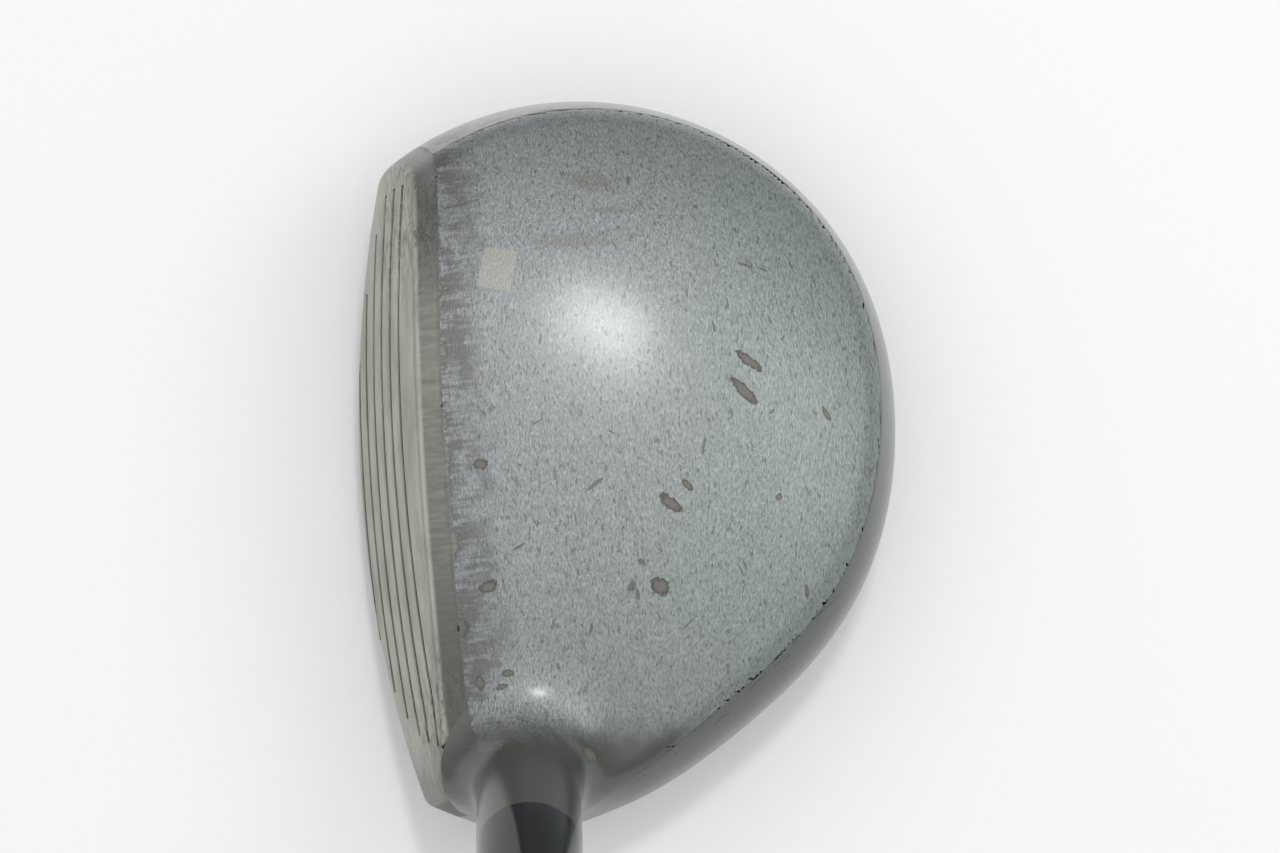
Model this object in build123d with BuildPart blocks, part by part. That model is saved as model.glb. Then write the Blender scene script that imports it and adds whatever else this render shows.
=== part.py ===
from build123d import *
import os
from math import cos, radians, sin

# Fairway wood (5-wood), right-handed, standing at address on its sole. Millimetres.
# Frame: origin at the middle of the small flat that the sole rests on, +Z up,
# +X from the face towards the back of the head, +Y from the heel towards the toe.

# ---------------------------------------------------------------- driving dimensions

loft_angle = 18.8            # face against the vertical
lie_angle = 58.0             # shaft against the ground
club_length = 1067.0         # ground to butt end, along the shaft axis

# Plan outline of the head: radii from its centre, every 30 degrees from the back towards the toe
outline_centre = (-8.0, 2.0)
outline_radii = (49.5, 51.5, 51.0, 48.0, 43.0, 38.5, 39.5, 41.5, 48.0, 50.5, 47.0, 48.0)
widest_height = 12.5         # height of the widest plan outline
skirt_radius_above = 19.0    # skirt roundness above that height
skirt_radius_below = 16.0

crown_rim_height = 21.7      # crown surface, 50 mm out from the outline centre
crown_rise = 10.2            # crown top above that
crown_fullness = 0.45        # share of the drop that is parabolic, the rest being quartic
crown_reach = 50.0
crown_tilt = (-0.017, 0.024)

sole_camber_radius = 150.0   # leading edge to back
sole_sweep_radius = 110.0    # heel to toe
sole_flat_depth = 0.2        # what the rest flat takes off the camber

face_foot_x = -34.0          # where the face line through the middle meets the ground
face_middle_y = 2.3
face_middle_rise = 14.0      # face centre above the ground, measured up the face
face_radius = 285.0          # bulge and roll

crown_wall = 0.9
skirt_wall = 1.1
sole_wall = 1.6
face_wall = 2.3
face_rim_wall = 2.4          # crown, skirt and sole walls of the cup face
face_return = 3.2            # how far the cup face wraps round its rim

score_pitch = 3.92
score_width = 0.9
score_depth = 0.35
score_paint = 0.15
score_first = -6.2           # lowest line from the face centre
# How far each line runs from the face middle, from the lowest line up
score_toe_reach = (15.3, 24.0, 31.5, 36.0, 36.0, 35.5)
score_heel_reach = (23.3, 31.1, 35.2, 38.0, 39.5, 40.4)

hosel_foot = (-10.9, -26.9)  # shaft axis at ground height
hosel_radius = 6.75
hosel_top = 51.1             # along the shaft axis, from the ground
bore_radius = 4.37
bore_bottom = 17.0
hosel_tube_radius = 6.1      # inside the head
hosel_tube_bottom = 14.5
hosel_stem_start = 40.0      # where the swelling root has narrowed to the round stem
root_middle = (-10.3, -34.4, 20.5)   # widest section of the root, under the crown
root_radius = 11.8
neck_middle = (-10.9, -42.2, 28.5)   # halfway up the root
neck_radius = 8.3

shaft_tip_radius = 4.25
shaft_tip_bore = 2.4
shaft_tip_parallel = 90.0
shaft_butt_radius = 7.62
shaft_butt_bore = 6.5
shaft_butt_parallel = 330.0
plug_thickness = 3.0
tip_weight_length = 30.0

ferrule_length = 22.0
ferrule_top_radius = 5.1

band_length = 55.0
band_thickness = 0.12
band_below_butt = 420.0

grip_length = 267.0
grip_mouth_radius = 9.4
grip_butt_radius = 13.2
grip_tape_thickness = 0.25
grip_tape_length = 258.0
cap_thickness = 4.0
cap_radius = 13.6
vent_radius = 1.5

medallion_spot = (20.0, 9.0)
medallion_radius = 10.0
medallion_thickness = 0.6
medallion_sink = 0.15

weight_spot = (6.0, -22.0)
weight_head_radius = 5.5
weight_head_depth = 1.2
weight_sink = 0.15           # below the sole
weight_shank_radius = 4.0
weight_length = 8.0
weight_socket_flats = 4.0
weight_socket_depth = 3.0
weight_boss_radius = 6.8
weight_boss_height = 6.0

glue_spot = (-2.0, 25.0)
glue_radius = 11.0
glue_thickness = 2.5

cutter_reach = 6.0           # cutters run this far past the surface they cut

os.makedirs("parts", exist_ok=True)


# ---------------------------------------------------------------- reference planes

def unit(x, y, z):
    """A direction as a vector of length one."""
    return Vector(x, y, z).normalized()


shaft_axis = unit(0, -cos(radians(lie_angle)), sin(radians(lie_angle)))
# Sketch plane holding the shaft axis: x is the radius, y runs up the shaft from the ground
shaft_plane = Plane(
    origin=(hosel_foot[0], hosel_foot[1], 0),
    x_dir=(1, 0, 0),
    z_dir=Vector(1, 0, 0).cross(shaft_axis),
)
shaft_line = Axis(shaft_plane.origin, shaft_axis)

up_the_face = unit(sin(radians(loft_angle)), 0, cos(radians(loft_angle)))
out_of_face = unit(-cos(radians(loft_angle)), 0, sin(radians(loft_angle)))
face_centre = Vector(face_foot_x, face_middle_y, 0) + up_the_face * face_middle_rise
# Face plane: x towards the heel, y up the face, z out of it
face_plane = Plane(origin=face_centre, x_dir=(0, -1, 0), z_dir=out_of_face)

crown_axis = unit(-crown_tilt[0], -crown_tilt[1], 1)
crown_across = unit(1, 0, crown_tilt[0])
crown_plane = Plane(
    origin=(outline_centre[0], outline_centre[1], 0),
    x_dir=crown_across,
    z_dir=crown_across.cross(crown_axis),
)


def along_shaft(distance):
    """The plane square to the shaft axis, at a distance from the ground along it."""
    return Plane(
        origin=shaft_plane.origin + shaft_axis * distance,
        x_dir=(1, 0, 0),
        z_dir=shaft_axis,
    )


def sole_plane(spot):
    """The plane touching the sole at a spot, its z pointing into the head."""
    x, y = spot
    height = x * x / (2 * sole_camber_radius) + y * y / (2 * sole_sweep_radius) - sole_flat_depth
    inward = unit(-x / sole_camber_radius, -y / sole_sweep_radius, 1)
    return Plane(origin=(x, y, height), x_dir=(1, 0, inward.X / -inward.Z), z_dir=inward)


# ---------------------------------------------------------------- surfaces of the head

def outline_points(inset):
    """The plan outline, taken in by an inset."""
    centre = Vector(*outline_centre)
    step = 360 / len(outline_radii)
    return [centre + Vector(radius - inset, 0).rotate(Axis.Z, step * i)
            for i, radius in enumerate(outline_radii)]


def skirt_inset(height):
    """How far the rounded skirt draws in at a height."""
    away = height - widest_height
    roundness = skirt_radius_above if away > 0 else skirt_radius_below
    return away * away / (2 * roundness)


def skirt_block(wall):
    """Everything inside the skirt surface, taken in by a wall."""
    heights = (-3.0, 2.0, 7.0, 12.5, 17.5, 22.5, 27.5, 34.0)
    with BuildPart() as block:
        for height in heights:
            with BuildSketch(Plane.XY.offset(height)):
                with BuildLine():
                    Spline(*outline_points(skirt_inset(height) + wall), periodic=True)
                make_face()
        loft()
    return block.part


def crown_height(radius):
    """Crown surface over the ground, at a radius from its axis."""
    share = (radius / crown_reach) ** 2
    drop = crown_fullness * share + (1 - crown_fullness) * share * share
    return crown_rim_height + crown_rise * (1 - drop)


def crown_dome(wall):
    """Everything under the crown surface, lowered by a wall."""
    radii = (0, 12, 24, 36, 48, 58)
    points = [(radius, crown_height(radius) - wall) for radius in radii]
    with BuildPart() as dome:
        with BuildSketch(crown_plane):
            with BuildLine():
                top = Spline(*points, tangents=((1, 0), (1, -1.25)))
                Polyline(top @ 1, (radii[-1], -8), (0, -8), top @ 0)
            make_face()
        revolve(axis=Axis(crown_plane.origin, crown_axis))
    return dome.part


def sole_bowl(wall):
    """Everything over the cambered sole surface, raised by a wall."""
    half_width = 60.0
    ceiling = 55.0
    lowest = wall - sole_flat_depth
    sag = sole_sweep_radius - (sole_sweep_radius ** 2 - half_width ** 2) ** 0.5
    with BuildPart() as bowl:
        with BuildSketch(Plane.YZ):
            with BuildLine():
                camber = ThreePointArc(
                    (-half_width, lowest + sag), (0, lowest), (half_width, lowest + sag))
                Polyline(camber @ 1, (half_width, ceiling), (-half_width, ceiling), camber @ 0)
            make_face()
        revolve(axis=Axis((0, 0, sole_camber_radius - sole_flat_depth), (0, 1, 0)))
    return bowl.part


def face_ball(wall):
    """Everything behind the bulged and rolled face, set back by a wall."""
    with BuildPart(face_plane.offset(-face_radius)) as ball:
        Sphere(face_radius - wall)
    return ball.part


skirt_outside = skirt_block(0)
crown_outside = crown_dome(0)
crown_inside = crown_dome(crown_wall)
sole_outside = sole_bowl(0)
sole_inside = sole_bowl(sole_wall)
face_outside = face_ball(0)
face_inside = face_ball(face_wall)
face_seam = face_ball(face_return)

with BuildPart() as head_outside:
    add(skirt_outside)
    add(crown_outside, mode=Mode.INTERSECT)
    add(sole_outside, mode=Mode.INTERSECT)
    add(face_outside, mode=Mode.INTERSECT)
    with Locations((0, 0, -10)):
        Box(200, 200, 20, mode=Mode.SUBTRACT)

# Root of the hosel: it swells from the round stem into the heel under the crown
with BuildPart() as hosel_root:
    with BuildSketch(Plane(origin=root_middle, z_dir=unit(0, -0.1, 1))):
        Circle(root_radius)
    with BuildSketch(Plane(origin=neck_middle, z_dir=unit(0, -0.4, 1))):
        Circle(neck_radius)
    with BuildSketch(along_shaft(hosel_stem_start + 1)):
        Circle(hosel_radius)
    loft()

with BuildPart() as hosel_outside:
    add(hosel_root.part)
    with BuildSketch(along_shaft(hosel_stem_start)):
        Circle(hosel_radius)
    extrude(amount=hosel_top - hosel_stem_start)
    with BuildSketch(along_shaft(hosel_tube_bottom)):
        Circle(hosel_tube_radius)
    extrude(amount=hosel_stem_start - hosel_tube_bottom)

# ---------------------------------------------------------------- head shell

# Cup face: the plate, and the thicker rim that wraps back to the seam
with BuildPart() as face_cup:
    add(head_outside.part)
    add(face_seam, mode=Mode.SUBTRACT)

with BuildPart() as face_hollow:
    add(skirt_block(face_rim_wall))
    add(crown_dome(face_rim_wall), mode=Mode.INTERSECT)
    add(sole_bowl(face_rim_wall), mode=Mode.INTERSECT)
    add(face_inside, mode=Mode.INTERSECT)

with BuildPart() as score_cutters:
    for row, (toe_reach, heel_reach) in enumerate(zip(score_toe_reach, score_heel_reach)):
        rise = score_first + row * score_pitch
        with BuildSketch(face_plane):
            with Locations(((heel_reach - toe_reach) / 2, rise)):
                Rectangle(toe_reach + heel_reach, score_width)
        extrude(amount=cutter_reach, both=True)
    add(face_ball(score_depth), mode=Mode.SUBTRACT)

with BuildPart() as face_plate:
    add(face_cup.part)
    add(face_hollow.part, mode=Mode.SUBTRACT)
    add(score_cutters.part, mode=Mode.SUBTRACT)
    add(hosel_outside.part, mode=Mode.SUBTRACT)
face_plate.part.label = "face_plate"

with BuildPart() as score_line_paint:
    add(score_cutters.part)
    add(head_outside.part, mode=Mode.INTERSECT)
    add(face_ball(score_depth - score_paint), mode=Mode.INTERSECT)
score_line_paint.part.label = "score_line_paint"

# The hosel root leaves a crumb of crown sheet at the heel, which is dropped
with BuildPart() as crown_sheet:
    add(head_outside.part)
    add(face_seam, mode=Mode.INTERSECT)
    add(crown_inside, mode=Mode.SUBTRACT)
    add(hosel_outside.part, mode=Mode.SUBTRACT)
with BuildPart() as crown_plate:
    add(crown_sheet.solids().sort_by(SortBy.VOLUME)[-1])
crown_plate.part.label = "crown_plate"

# Skirt ring and hosel in one casting
with BuildPart() as head_body:
    add(skirt_outside)
    add(skirt_block(skirt_wall), mode=Mode.SUBTRACT)
    add(crown_inside, mode=Mode.INTERSECT)
    add(sole_inside, mode=Mode.INTERSECT)
    add(face_seam, mode=Mode.INTERSECT)
    add(hosel_outside.part)
    with BuildSketch(along_shaft(bore_bottom)):
        Circle(bore_radius)
    extrude(amount=club_length, mode=Mode.SUBTRACT)
head_body.part.label = "head_body"

weight_plane = sole_plane(weight_spot)
medallion_plane = sole_plane(medallion_spot)

with BuildPart() as medallion_pocket:
    with BuildSketch(medallion_plane):
        Circle(medallion_radius)
    extrude(amount=cutter_reach, both=True)
    add(sole_bowl(medallion_sink + medallion_thickness), mode=Mode.SUBTRACT)

with BuildPart() as sole_plate:
    add(head_outside.part)
    add(face_seam, mode=Mode.INTERSECT)
    add(sole_inside, mode=Mode.SUBTRACT)
    add(medallion_pocket.part, mode=Mode.SUBTRACT)
    with BuildSketch(weight_plane.offset(weight_head_depth)):
        Circle(weight_head_radius)
    extrude(amount=-cutter_reach, mode=Mode.SUBTRACT)
    with BuildSketch(weight_plane):
        Circle(weight_shank_radius)
    extrude(amount=weight_length, mode=Mode.SUBTRACT)
sole_plate.part.label = "sole_plate"

with BuildPart() as sole_medallion:
    add(medallion_pocket.part)
    add(sole_bowl(medallion_sink), mode=Mode.INTERSECT)
sole_medallion.part.label = "sole_medallion"

# ---------------------------------------------------------------- inside the head

# Threaded boss welded on the inside of the sole
with BuildPart() as weight_boss:
    with BuildSketch(weight_plane):
        Circle(weight_boss_radius)
    extrude(amount=weight_boss_height)
    add(sole_inside, mode=Mode.INTERSECT)
    with BuildSketch(weight_plane):
        Circle(weight_shank_radius)
    extrude(amount=weight_length, mode=Mode.SUBTRACT)
weight_boss.part.label = "weight_boss"

with BuildPart() as weight_screw:
    with BuildSketch(weight_plane.offset(weight_sink)):
        Circle(weight_head_radius)
    extrude(amount=weight_head_depth - weight_sink)
    with BuildSketch(weight_plane.offset(weight_head_depth)):
        Circle(weight_shank_radius)
    extrude(amount=weight_length - weight_head_depth)
    chamfer(weight_screw.faces().sort_by(Axis.Z)[-1].edges(), 0.5)
    with BuildSketch(weight_plane.offset(weight_sink)):
        RegularPolygon(weight_socket_flats / 2, 6, major_radius=False)
    extrude(amount=weight_socket_depth, mode=Mode.SUBTRACT)
weight_screw.part.label = "weight_screw"

# Pad of tacky adhesive that catches loose particles
with BuildPart() as catch_pad:
    with BuildSketch(sole_plane(glue_spot)):
        Circle(glue_radius)
    extrude(amount=sole_wall + glue_thickness, taper=30)
    add(sole_inside, mode=Mode.INTERSECT)
catch_pad.part.label = "catch_pad"

# ---------------------------------------------------------------- shaft and what joins it

tip_end = bore_bottom + plug_thickness

with BuildPart() as bore_plug:
    with BuildSketch(along_shaft(bore_bottom)):
        Circle(bore_radius)
    extrude(amount=plug_thickness)
bore_plug.part.label = "bore_plug"

with BuildPart() as bond_sleeve:
    with BuildSketch(along_shaft(tip_end)):
        Circle(bore_radius)
        Circle(shaft_tip_radius, mode=Mode.SUBTRACT)
    extrude(amount=hosel_top - tip_end)
bond_sleeve.part.label = "bond_sleeve"

butt_end = club_length - cap_thickness
taper_start = tip_end + shaft_tip_parallel
taper_end = butt_end - shaft_butt_parallel


def shaft_radius(distance):
    """Outside radius of the shaft, at a distance from the ground along its axis."""
    share = (distance - taper_start) / (taper_end - taper_start)
    share = min(max(share, 0.0), 1.0)
    return shaft_tip_radius + share * (shaft_butt_radius - shaft_tip_radius)


with BuildPart() as shaft:
    with BuildSketch(shaft_plane):
        with BuildLine():
            Polyline(
                (shaft_tip_bore, tip_end),
                (shaft_tip_radius, tip_end),
                (shaft_tip_radius, taper_start),
                (shaft_butt_radius, taper_end),
                (shaft_butt_radius, butt_end),
                (shaft_butt_bore, butt_end),
                (shaft_butt_bore, taper_end),
                (shaft_tip_bore, taper_start),
                close=True,
            )
        make_face()
    revolve(axis=shaft_line)
shaft.part.label = "shaft"

with BuildPart() as tip_weight:
    with BuildSketch(along_shaft(tip_end)):
        Circle(shaft_tip_bore)
    extrude(amount=tip_weight_length)
    chamfer(tip_weight.faces().sort_by(Axis.Z)[-1].edges(), 0.6)
tip_weight.part.label = "tip_weight"

ferrule_end = hosel_top + ferrule_length
with BuildPart() as ferrule:
    with BuildSketch(shaft_plane):
        with BuildLine():
            flank = Spline(
                (hosel_radius, hosel_top),
                (hosel_radius - 0.55, hosel_top + 0.5 * ferrule_length),
                (ferrule_top_radius, ferrule_end - 0.8),
                tangents=((0, 1), (-0.14, 1)),
            )
            Polyline(
                flank @ 1,
                (ferrule_top_radius - 0.6, ferrule_end),
                (shaft_tip_radius, ferrule_end),
                (shaft_tip_radius, hosel_top),
                flank @ 0,
            )
        make_face()
    revolve(axis=shaft_line)
ferrule.part.label = "ferrule"

# Blank label band round the taper of the shaft
band_start = butt_end - band_below_butt - band_length
band_end = butt_end - band_below_butt
with BuildPart() as shaft_band:
    with BuildSketch(shaft_plane):
        with BuildLine():
            Polyline(
                (shaft_radius(band_start), band_start),
                (shaft_radius(band_start) + band_thickness, band_start),
                (shaft_radius(band_end) + band_thickness, band_end),
                (shaft_radius(band_end), band_end),
                close=True,
            )
        make_face()
    revolve(axis=shaft_line)
shaft_band.part.label = "shaft_band"

# ---------------------------------------------------------------- grip

tape_radius = shaft_butt_radius + grip_tape_thickness
grip_mouth = butt_end - grip_length

with BuildPart() as grip_tape:
    with BuildSketch(along_shaft(butt_end - grip_tape_length)):
        Circle(tape_radius)
        Circle(shaft_butt_radius, mode=Mode.SUBTRACT)
    extrude(amount=grip_tape_length)
grip_tape.part.label = "grip_tape"

with BuildPart() as grip:
    with BuildSketch(shaft_plane):
        with BuildLine():
            side = Spline(
                (grip_mouth_radius, grip_mouth + 1.5),
                (grip_mouth_radius + 1.0, grip_mouth + 0.45 * grip_length),
                (grip_butt_radius, butt_end),
                tangents=((0, 1), (0.03, 1)),
            )
            Polyline(
                side @ 1,
                (tape_radius, butt_end),
                (tape_radius, butt_end - grip_tape_length),
                (shaft_butt_radius, butt_end - grip_tape_length),
                (shaft_butt_radius, grip_mouth),
                (grip_mouth_radius - 0.8, grip_mouth),
                side @ 0,
            )
        make_face()
    revolve(axis=shaft_line)
grip.part.label = "grip"

with BuildPart() as grip_cap:
    with BuildSketch(along_shaft(butt_end)):
        Circle(cap_radius)
    extrude(amount=cap_thickness)
    fillet(grip_cap.edges().sort_by(Axis.Z)[-1], 1.6)
    with BuildSketch(along_shaft(butt_end)):
        Circle(vent_radius)
    extrude(amount=cap_thickness, mode=Mode.SUBTRACT)
grip_cap.part.label = "grip_cap"

# ---------------------------------------------------------------- parts

pieces = (
    face_plate, score_line_paint, crown_plate, head_body, sole_plate, sole_medallion,
    weight_boss, weight_screw, catch_pad, bore_plug, bond_sleeve, shaft, tip_weight,
    ferrule, shaft_band, grip_tape, grip, grip_cap,
)
for piece in pieces:
    export_step(piece.part, f"parts/{piece.part.label}.step")
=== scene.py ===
from math import cos, pi, radians, sin, tau

import bpy
import numpy as np
from mathutils import Matrix, Vector


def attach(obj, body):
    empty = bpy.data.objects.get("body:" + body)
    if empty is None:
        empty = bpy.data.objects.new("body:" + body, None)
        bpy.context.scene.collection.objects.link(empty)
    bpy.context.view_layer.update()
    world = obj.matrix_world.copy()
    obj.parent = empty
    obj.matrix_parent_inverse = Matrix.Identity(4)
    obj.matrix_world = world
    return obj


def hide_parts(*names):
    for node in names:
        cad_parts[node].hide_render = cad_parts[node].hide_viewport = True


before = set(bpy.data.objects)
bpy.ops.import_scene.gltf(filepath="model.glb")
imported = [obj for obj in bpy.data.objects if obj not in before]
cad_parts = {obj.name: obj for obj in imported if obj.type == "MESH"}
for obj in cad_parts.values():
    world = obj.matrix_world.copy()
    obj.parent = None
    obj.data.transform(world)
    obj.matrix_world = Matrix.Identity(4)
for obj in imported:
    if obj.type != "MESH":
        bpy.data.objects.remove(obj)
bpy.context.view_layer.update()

# Fairway wood. The head's pieces are meshed here from the same surfaces as the CAD model's, with its
# edges blended, and replace those nodes. Head sizes are in millimetres until a mesh is written.
MM = 0.001

# ------------------------------------------------------------------ sizes of the head

LOFT = radians(18.8)
LIE = radians(58.0)

OUTLINE_CENTRE = (-8.0, 2.0)
OUTLINE_RADII = (49.5, 51.5, 51.0, 48.0, 43.0, 38.5, 39.5, 41.5, 48.0, 50.5, 47.0, 48.0)
WIDEST_HEIGHT = 12.5
SKIRT_ABOVE, SKIRT_BELOW = 19.0, 16.0

CROWN_RIM, CROWN_RISE, CROWN_FULLNESS, CROWN_REACH = 21.7, 10.2, 0.45, 50.0
CROWN_TILT = (-0.017, 0.024)

SOLE_CAMBER, SOLE_SWEEP, SOLE_FLAT = 150.0, 110.0, 0.2

UP_FACE = np.array((sin(LOFT), 0.0, cos(LOFT)))
OUT_FACE = np.array((-cos(LOFT), 0.0, sin(LOFT)))
FACE_CENTRE = np.array((-34.0, 2.3, 0.0)) + 14.0 * UP_FACE
FACE_RADIUS = 285.0
FACE_RETURN = 3.2

SCORE_PITCH, SCORE_FIRST = 3.92, -6.2
SCORE_HALF_WIDTH, SCORE_DEPTH = 0.45, 0.35
# How far each line runs from the face middle, from the lowest line up
SCORE_TOE_REACH = (15.3, 24.0, 31.5, 36.0, 36.0, 35.5)
SCORE_HEEL_REACH = (23.3, 31.1, 35.2, 38.0, 39.5, 40.4)

HOSEL_FOOT = np.array((-10.9, -26.9, 0.0))
SHAFT_AXIS = np.array((0.0, -cos(LIE), sin(LIE)))
HOSEL_RADIUS, HOSEL_TOP = 6.75, 51.1
BORE_RADIUS, BORE_BOTTOM = 4.37, 17.0

CROWN_WALL, SKIRT_WALL, SOLE_WALL, FACE_WALL, FACE_RIM_WALL = 0.9, 1.1, 1.6, 2.3, 2.4
SEAM_OVERLAP = 0.04     # welded pieces meet without a gap

MEDALLION_SPOT, MEDALLION_RADIUS, MEDALLION_POCKET = (20.0, 9.0), 10.0, 0.75
WEIGHT_SPOT, WEIGHT_HEAD_RADIUS, WEIGHT_HEAD_DEPTH, WEIGHT_SHANK_RADIUS = (6.0, -22.0), 5.5, 1.2, 4.0

ROOT_MIDDLE, ROOT_RADIUS = (-9.5, -39.5), 17.0     # crown round the hosel that belongs to the casting
STEM_ROOM = 9.0                                    # the stem's own share of the casting, above the root
STEM_ZONE_RADIUS, STEM_ZONE_BOTTOM = 11.5, 19.0    # heel that belongs to the casting, not the face

# Rounding of the blended edges
ROUND_CROWN, ROUND_FACE, ROUND_SOLE, ROUND_HOSEL, ROUND_FLAT = 1.2, 0.6, 3.5, 9.0, 0.1


# ------------------------------------------------------------------ surfaces of the head
# Each takes points as an (n, 3) array and gives roughly the distance outside the surface.

def outline_table(steps=7200):
    """The outline's radius by angle: a closed cubic spline through its radii."""
    count = len(OUTLINE_RADII)
    mix = np.eye(count) * 4 / 6 + (np.roll(np.eye(count), 1, 1) + np.roll(np.eye(count), -1, 1)) / 6
    knots = np.linalg.solve(mix, np.array(OUTLINE_RADII))
    place = np.arange(steps + 1) * count / steps
    first = np.floor(place).astype(int)
    f = place - first
    weights = ((1 - f) ** 3, 3 * f ** 3 - 6 * f ** 2 + 4, -3 * f ** 3 + 3 * f ** 2 + 3 * f + 1, f ** 3)
    return sum(w * knots[(first + shift) % count] for shift, w in zip((-1, 0, 1, 2), weights)) / 6


OUTLINE = outline_table()


def soft_max(a, b, width):
    """The larger of two distances, with the edge between them rounded."""
    share = np.clip(0.5 + 0.5 * (a - b) / width, 0, 1)
    return b + (a - b) * share + width * share * (1 - share)


def side(p):
    x, y, away = p[:, 0] - OUTLINE_CENTRE[0], p[:, 1] - OUTLINE_CENTRE[1], p[:, 2] - WIDEST_HEIGHT
    turn = (np.arctan2(y, x) / tau) % 1.0 * (len(OUTLINE) - 1)
    low = np.minimum(turn.astype(int), len(OUTLINE) - 2)
    radius = OUTLINE[low] + (OUTLINE[low + 1] - OUTLINE[low]) * (turn - low)
    round_ = np.where(away > 0, SKIRT_ABOVE, SKIRT_BELOW)
    return (np.hypot(x, y) - radius + away ** 2 / (2 * round_)) / np.sqrt(1 + (away / round_) ** 2)


CROWN_AXIS = np.array((-CROWN_TILT[0], -CROWN_TILT[1], 1.0))
CROWN_AXIS /= np.linalg.norm(CROWN_AXIS)
CROWN_FOOT = np.array((*OUTLINE_CENTRE, 0.0))


def crown(p):
    q = p - CROWN_FOOT
    height = q @ CROWN_AXIS
    share = np.maximum((q * q).sum(1) - height ** 2, 0) / CROWN_REACH ** 2
    surface = CROWN_RIM + CROWN_RISE * (1 - CROWN_FULLNESS * share - (1 - CROWN_FULLNESS) * share ** 2)
    slope = CROWN_RISE * (2 * CROWN_FULLNESS * np.sqrt(share) + 4 * (1 - CROWN_FULLNESS) * share ** 1.5)
    return (height - surface) / np.sqrt(1 + (slope / CROWN_REACH) ** 2)


def sole(p):
    ring = np.hypot(p[:, 0], SOLE_CAMBER - SOLE_FLAT - p[:, 2]) - (SOLE_CAMBER - SOLE_SWEEP)
    return np.hypot(ring, p[:, 1]) - SOLE_SWEEP


def face(p):
    q = p - (FACE_CENTRE - FACE_RADIUS * OUT_FACE)
    return np.sqrt((q * q).sum(1)) - FACE_RADIUS


def from_axis(p, foot, axis):
    """Distance from a line."""
    q = p - foot
    along = q @ axis
    return np.sqrt(np.maximum((q * q).sum(1) - along ** 2, 0))


def skin(p):
    """The whole outside of head and hosel, its edges rounded."""
    head = soft_max(side(p), crown(p), ROUND_CROWN)
    head = soft_max(head, face(p), ROUND_FACE)
    stem = from_axis(p, HOSEL_FOOT, SHAFT_AXIS) - HOSEL_RADIUS
    head = -soft_max(-head, -stem, ROUND_HOSEL)
    return soft_max(head, sole(p), ROUND_SOLE)


def sole_spot(spot):
    """A spot on the sole and the direction square to it, into the head."""
    x, y = spot
    foot = np.array((x, y, x * x / (2 * SOLE_CAMBER) + y * y / (2 * SOLE_SWEEP) - SOLE_FLAT))
    inward = np.array((-x / SOLE_CAMBER, -y / SOLE_SWEEP, 1.0))
    return foot, inward / np.linalg.norm(inward)


# ------------------------------------------------------------------ solids from surfaces
# A solid takes points and gives (distance, number of the wall that sets it); walls are kept in WALLS.

WALLS = []


def wall(distance):
    number = len(WALLS)
    WALLS.append(distance)
    return lambda p: (distance(p), np.full(len(p), number))


def _pick(parts, larger):
    def solid(p):
        value, which = parts[0](p)
        for part in parts[1:]:
            v, w = part(p)
            more = v > value if larger else v < value
            value, which = np.where(more, v, value), np.where(more, w, which)
        return value, which
    return solid


def both(*parts):
    return _pick(parts, True)


def either(*parts):
    return _pick(parts, False)


def without(part):
    def solid(p):
        value, which = part(p)
        return -value, which
    return solid


def slope(number, p, step=1e-3):
    """A wall's distance at points, and its gradient there."""
    here = WALLS[number](p)
    out = np.empty_like(p)
    for axis in range(3):
        moved = p.copy()
        moved[:, axis] += step
        out[:, axis] = (WALLS[number](moved) - here) / step
    return here, out


def drop_onto(points, number, mask):
    """Moves the masked points onto one wall."""
    value, gradient = slope(number, points[mask])
    size = np.maximum((gradient * gradient).sum(1), 1e-6)
    points[mask] -= gradient * (value / size)[:, None]


def settle(points, walls_of, main_wall, rounds=7, furthest=0.65):
    """Moves each point onto every wall that meets in its cell, or if that leads away, onto the main one."""
    start = points.copy()
    for _ in range(rounds):
        for number, mask in walls_of.items():
            drop_onto(points, number, mask)
    strayed = np.linalg.norm(points - start, axis=1) > furthest
    points[strayed] = start[strayed]
    for number in walls_of:
        mask = strayed & (main_wall == number)
        for _ in range(3 if mask.any() else 0):
            drop_onto(points, number, mask)
    return points


POINTS_AT_ONCE = 400000


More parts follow.
